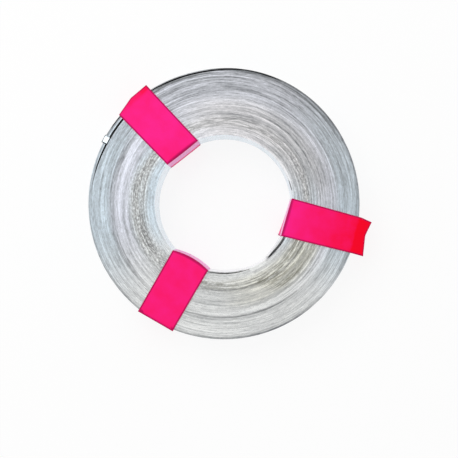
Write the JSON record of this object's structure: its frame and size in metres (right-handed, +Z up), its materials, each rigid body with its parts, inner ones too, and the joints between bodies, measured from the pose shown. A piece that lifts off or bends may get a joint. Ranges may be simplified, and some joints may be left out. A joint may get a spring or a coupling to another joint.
{
  "type": "coil of galvanized steel strap",
  "caption": "Flat coil of thin galvanized steel strap with an open bore, tied by bands of pink vinyl tape, for hanging ducts and pipes or bundling goods.",
  "frame": {"origin": "on the axis of the coil's bore, in the plane of the floor that the tape bands rest on", "axes": "+Z up along the bore axis; +X towards the right-hand side of the picture, +Y towards its top"},
  "size_m": [0.178, 0.1708, 0.0265],
  "materials": {
    "galvanized_steel": "galvanized strap edges, satin, with dull dirty streaks",
    "vinyl_tape": "hot pink vinyl tape, soft gloss"
  },
  "bodies": {
    "root": {"strap_coil": "galvanized_steel", "tape_upper_left": "vinyl_tape", "tape_right": "vinyl_tape", "tape_lower_left": "vinyl_tape"}
  },
  "joints": []
}
